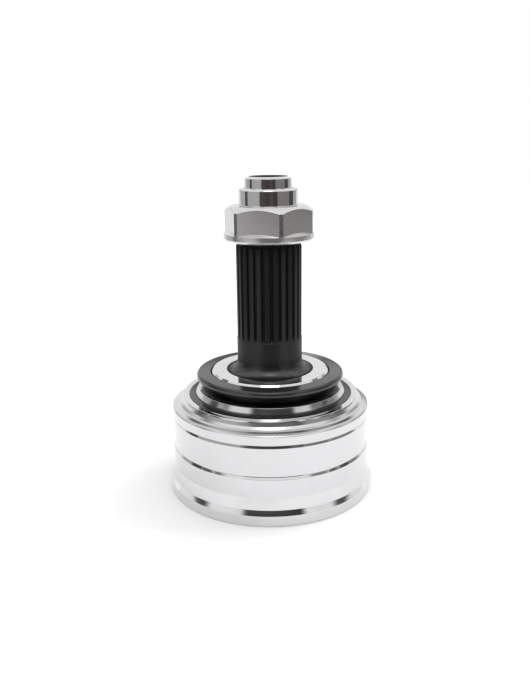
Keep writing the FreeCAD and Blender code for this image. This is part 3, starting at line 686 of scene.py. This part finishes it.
addPiece(gridMesh("boreSpline", sleeveGrid(), looped=True), "inner_race", raceSteel, ["inner_race"])


# Circlip: round wire carried along an open circle, with flat ends

clip = {"radius": 12.3, "wire": 0.9, "height": 27.7, "open": 32.0}
along = np.radians(np.linspace(0, 360 - clip["open"], 110))[:, None]
around = evenBearings(18)
out = clip["radius"] + clip["wire"] * np.cos(around)
height = clip["height"] + clip["wire"] * np.sin(around) + 0 * along
grid = np.stack([out * np.cos(along), out * np.sin(along), height], -1)
addPiece(gridMesh("circlipWire", grid, np.stack([grid[0].mean(0), grid[-1].mean(0)])), "inner_race", springSteel,
         ["circlip"], bevel=0.12)


# Balls

lean = np.radians(np.linspace(-90, 90, 49))[1:-1]
for number in range(bell["tracks"]):
    bearing = math.radians(360 / bell["tracks"] * (number + 0.5))
    centre = np.array([ballJoint["pitchRadius"] * math.cos(bearing), ballJoint["pitchRadius"] * math.sin(bearing),
                       ballJoint["height"]])
    size = ballJoint["ballRadius"]
    grid = turnedGrid(size * np.stack([np.cos(lean), np.sin(lean)], -1), evenBearings(80)) + centre
    mesh = gridMesh(f"bearingBall{number + 1}", grid, np.array([centre - (0, 0, size), centre + (0, 0, size)]))
    addPiece(mesh, f"ball_{number + 1}", ballSteel, [f"ball_{number + 1}"])


# Axle nut: a hexagon whose flats meet a coned flange below and a turned crown above

nut = {"foot": 117.751, "bore": 12.05, "apothem": 18.0, "rim": 20.2546, "bevel": 0.95, "bevelWidth": 0.75,
       "rimHeight": 2.2, "coneRise": 3.2, "collar": 13.28, "collarEdge": 0.7, "lip": 10.95, "lipHeight": 0.7,
       "collarTop": 22.75, "hexTop": 15.4, "crownDrop": 2.4, "crownWidth": 3.55, "edge": 0.16}


def nutGrid():
    # At each bearing the hexagon is apothem / cos(bearing from the flat's middle) out, and no further than the
    # rim. The flange's cone and the crown's cone meet it at heights that follow from that distance.
    s = nut
    trim = math.acos(s["apothem"] / s["rim"])
    flat = np.linspace(-trim, trim, 25)
    corner = np.linspace(trim, math.pi / 3 - trim, 6)[1:-1]
    offset = np.concatenate([flat, corner])
    out = np.minimum(s["apothem"] / np.cos(offset), s["rim"])
    out[len(flat):] = s["rim"]
    bearing = (math.pi / 6 + math.pi / 3 * np.arange(6)[:, None] + offset).reshape(-1)
    out = np.tile(out, 6)
    foot, e = s["foot"], s["edge"]
    flange = foot + s["bevel"] + s["rimHeight"]
    low = flange + (s["rim"] - out) / (s["rim"] - s["collar"]) * s["coneRise"]
    top = foot + s["hexTop"] - s["crownDrop"] + (s["rim"] - out) / s["crownWidth"] * s["crownDrop"]
    same = np.ones_like(out)
    slope = np.array([-s["crownWidth"], s["crownDrop"]]) / math.hypot(s["crownWidth"], s["crownDrop"])
    cone = np.array([-(s["rim"] - s["collar"]), s["coneRise"]])
    cone = cone / np.hypot(*cone)
    apart = np.minimum(1, (s["rim"] - out) / 0.5)
    crownFoot = s["rim"] - s["crownWidth"]
    hexTop, collarTop = foot + s["hexTop"], foot + s["collarTop"]
    rows = [
        (s["bore"], foot + 0.8), (s["bore"] + 0.8, foot), (s["rim"] - s["bevelWidth"] - 0.1, foot),
        (s["rim"] - s["bevelWidth"] + 0.05, foot + 0.1), (s["rim"] - 0.08, foot + s["bevel"] - 0.12),
        (s["rim"], foot + s["bevel"] + 0.08), (s["rim"], flange - 0.22), (s["rim"] - 0.05 * apart, flange - 0.06),
        (s["rim"] - 0.2 * apart, flange + 0.07 * apart),
        (out + 0.02 * apart, low - 0.01 * apart), (out, low + 0.03),
        (out, top - e), (out - e * 0.12, top - e * 0.35), (out - e * 0.42, top + e * 0.18),
        (out + slope[0] * e * 1.2, top + slope[1] * e * 1.2),
        (crownFoot + 0.25, hexTop - 0.169), (crownFoot - 0.1, hexTop - 0.02), (crownFoot - 0.35, hexTop),
        (s["collar"] + 0.35, hexTop), (s["collar"] + 0.1, hexTop + 0.1), (s["collar"], hexTop + 0.35),
        (s["collar"], collarTop - s["collarEdge"] - 0.12), (s["collar"] - 0.09, collarTop - s["collarEdge"] + 0.06),
        (s["collar"] - s["collarEdge"] + 0.06, collarTop - 0.09), (s["collar"] - s["collarEdge"] - 0.12, collarTop),
        (s["lip"] + 0.15, collarTop - 0.03), (s["lip"], collarTop - 0.18), (s["lip"], collarTop - s["lipHeight"]),
        (s["bore"], collarTop - s["lipHeight"] - 0.3)]
    radius = np.stack([r * same for r, _ in rows])
    height = np.stack([h * same for _, h in rows])
    return np.stack([radius * np.cos(bearing), radius * np.sin(bearing), height], -1)


addPiece(gridMesh("flangeNut", nutGrid(), looped=True), "axle_nut", nutPlate, ["axle_nut"], sharp=24)
addPiece(helixRidge("nutThread", nutThread), "axle_nut", nutPlate, sharp=28)
print("pieces done")


# Floor, studio and lights

cameraSetting = {"azimuth": 14.5, "distance": 0.3367, "height": 0.1630, "pitch": 16.11, "yaw": -0.38, "roll": -0.65,
                 "focal": 744.9}
studio = {
    "floorRadius": 4.0, "roundRadius": 0.2, "roundTop": 0.4, "softEnd": 4.0,
    # first and last bearing and their softness in degrees, foot and top in millimetres, what the panel gives off
    # and how much redder than grey that is
    "panels": [
        (-132, -98, 1.6, 74, 140, 0.52, 0.0), (-98, -82, 1.3, 74, 140, 0.08, 0.03),
        (-82, -33, 1.3, 74, 140, 0.50, 0.02), (-33, 36, 1.3, 110, 140, 0.06, 0.08),
        (-27, -12, 3.0, 112, 140, 0.09, 0.22), (6, 18, 2.5, 112, 140, 0.12, 0.38),
        (36, 82, 1.3, 110, 140, 0.25, 0.09), (82, 108, 1.6, 110, 140, 0.08, 0.10),
        (108, 132, 1.6, 74, 140, 0.48, 0.0), (-36, -23, 2.0, 74, 110, 0.41, 0.03),
        (-23, 25, 2.0, 74, 110, 0.20, 0.04), (25, 38, 1.0, 74, 110, 0.05, 0.06),
        (38, 108, 2.0, 74, 110, 0.29, 0.04), (150, 168, 2.0, 70, 101, 0.14, 0.0),
        (-174, -158, 2.0, 70, 101, 0.10, 0.0), (-100, -64, 5.0, 28, 74, 0.09, 0.0),
        (-27, 32, 4.0, 4, 74, 0.05, 0.0), (64, 98, 5.0, 28, 74, 0.09, 0.0),
        (-30, 37, 4.0, 140, 214, 0.045, 0.0), (-150, -60, 6.0, 172, 214, 0.20, 0.0),
        (43, 150, 5.0, 172, 214, 0.28, 0.0), (-88, -64, 6.0, 140, 168, 0.14, 0.0),
        (62, 84, 6.0, 140, 168, 0.14, 0.0),
    ],
}


def stagePiece(name, vertices, faces, material):
    mesh = bpy.data.meshes.new(name)
    mesh.from_pydata(vertices, [], faces)
    mesh.materials.append(material)
    piece = bpy.data.objects.new(name, mesh)
    bpy.context.scene.collection.objects.link(piece)
    return piece


def floorPaper():
    # white paper that pales further out; the only shade on it is the object's own shadow
    finish = Finish("floorPaper")
    paper = finish.tint(finish.rise(finish.radius, 0.15, 0.6), (0.97, 0.97, 0.972), (1, 1, 1))
    shader = finish.node("ShaderNodeBsdfDiffuse", {}, {"Color": paper})
    finish.node("ShaderNodeOutputMaterial", {"target": "ALL"}, {"Surface": shader})
    return finish.material


size = studio["floorRadius"]
stagePiece("floor", [(-size, -size, 0), (size, -size, 0), (size, size, 0), (-size, size, 0)], [(0, 1, 2, 3)],
           floorPaper())


def studioRound():
    # a white round wall with dark and grey panels, at bearings counted from the side that the camera stands on;
    # only reflections see it
    finish = Finish("studioRound")
    turn = math.radians(cameraSetting["azimuth"])
    across = finish.x * math.cos(turn) + finish.y * math.sin(turn)
    towards = finish.x * math.sin(turn) - finish.y * math.cos(turn)
    bearing = finish.node("ShaderNodeMath", {"operation": "ARCTAN2"}, {0: across, 1: towards}) * (360 / circle)
    height = finish.z * 1000
    tone = None
    for first, last, soft, foot, top, level, redder in studio["panels"]:
        mask = finish.band(bearing, first, last, soft) * finish.band(height, foot, top, studio["softEnd"])
        colour = (level, level * (1 - redder), level * (1 - redder))
        tone = finish.tint(mask, tone or (1.0, 1.0, 1.0), colour)
    finish.surface(base_color=(0.0, 0.0, 0.0), roughness=1.0, specular_ior_level=0.0, emission_color=tone,
                   emission_strength=1.0)
    far, top = studio["roundRadius"], studio["roundTop"]
    columns = 96
    around = evenBearings(columns)
    vertices = [(far * math.cos(b), far * math.sin(b), h) for h in (0.0, top) for b in around]
    faces = [(k, (k + 1) % columns, columns + (k + 1) % columns, columns + k) for k in range(columns)]
    card = stagePiece("studioRound", vertices, faces, finish.material)
    card.visible_camera = card.visible_diffuse = card.visible_shadow = card.visible_transmission = False


studioRound()

world = bpy.data.worlds.new("studio")
bpy.context.scene.world = world
world.use_nodes = True
nodes, links = world.node_tree.nodes, world.node_tree.links
nodes.clear()
background = nodes.new("ShaderNodeBackground")
background.inputs["Color"].default_value = (1, 1, 1, 1)
background.inputs["Strength"].default_value = 1.0
output = nodes.new("ShaderNodeOutputWorld")
links.new(background.outputs[0], output.inputs["Surface"])


def softLamp(name, place, target, size, power, glint=False):
    lamp = bpy.data.lights.new(name, "AREA")
    lamp.shape, lamp.size, lamp.energy = "DISK", size, power
    holder = bpy.data.objects.new(name, lamp)
    bpy.context.scene.collection.objects.link(holder)
    holder.location = place
    holder.rotation_euler = (Vector(target) - Vector(place)).to_track_quat("-Z", "Y").to_euler()
    holder.visible_glossy = glint
    holder.visible_camera = False


softLamp("keyLamp", (0.6, 0.5, 1.0), (0, 0, 0.05), 0.75, 4.0)
softLamp("topLamp", (0.075, -0.29, 1.0), (0, 0, 0.05), 0.42, 0.8, glint=True)


# Camera

def placeCamera():
    s = cameraSetting
    turn, pitch, yaw, roll = (math.radians(s[k]) for k in ("azimuth", "pitch", "yaw", "roll"))
    ahead = Vector((math.sin(yaw) * math.cos(pitch), math.cos(yaw) * math.cos(pitch), -math.sin(pitch)))
    right = Vector((math.cos(yaw), -math.sin(yaw), 0))
    up = right.cross(ahead)
    across = right * math.cos(roll) + up * math.sin(roll)
    upright = up * math.cos(roll) - right * math.sin(roll)
    spin = Matrix.Rotation(turn, 3, "Z")
    across, upright, ahead = spin @ across, spin @ upright, spin @ ahead
    data = bpy.data.cameras.new("camera")
    data.sensor_width, data.lens = 36, s["focal"] / 700 * 36
    data.clip_start, data.clip_end = 0.01, 50
    camera = bpy.data.objects.new("camera", data)
    bpy.context.scene.collection.objects.link(camera)
    basis = Matrix((across, upright, -ahead)).transposed().to_4x4()
    basis.translation = spin @ Vector((0, -s["distance"], s["height"]))
    camera.matrix_world = basis
    bpy.context.scene.camera = camera


placeCamera()
bpy.context.scene.view_settings.view_transform = "Standard"

print("scene done")
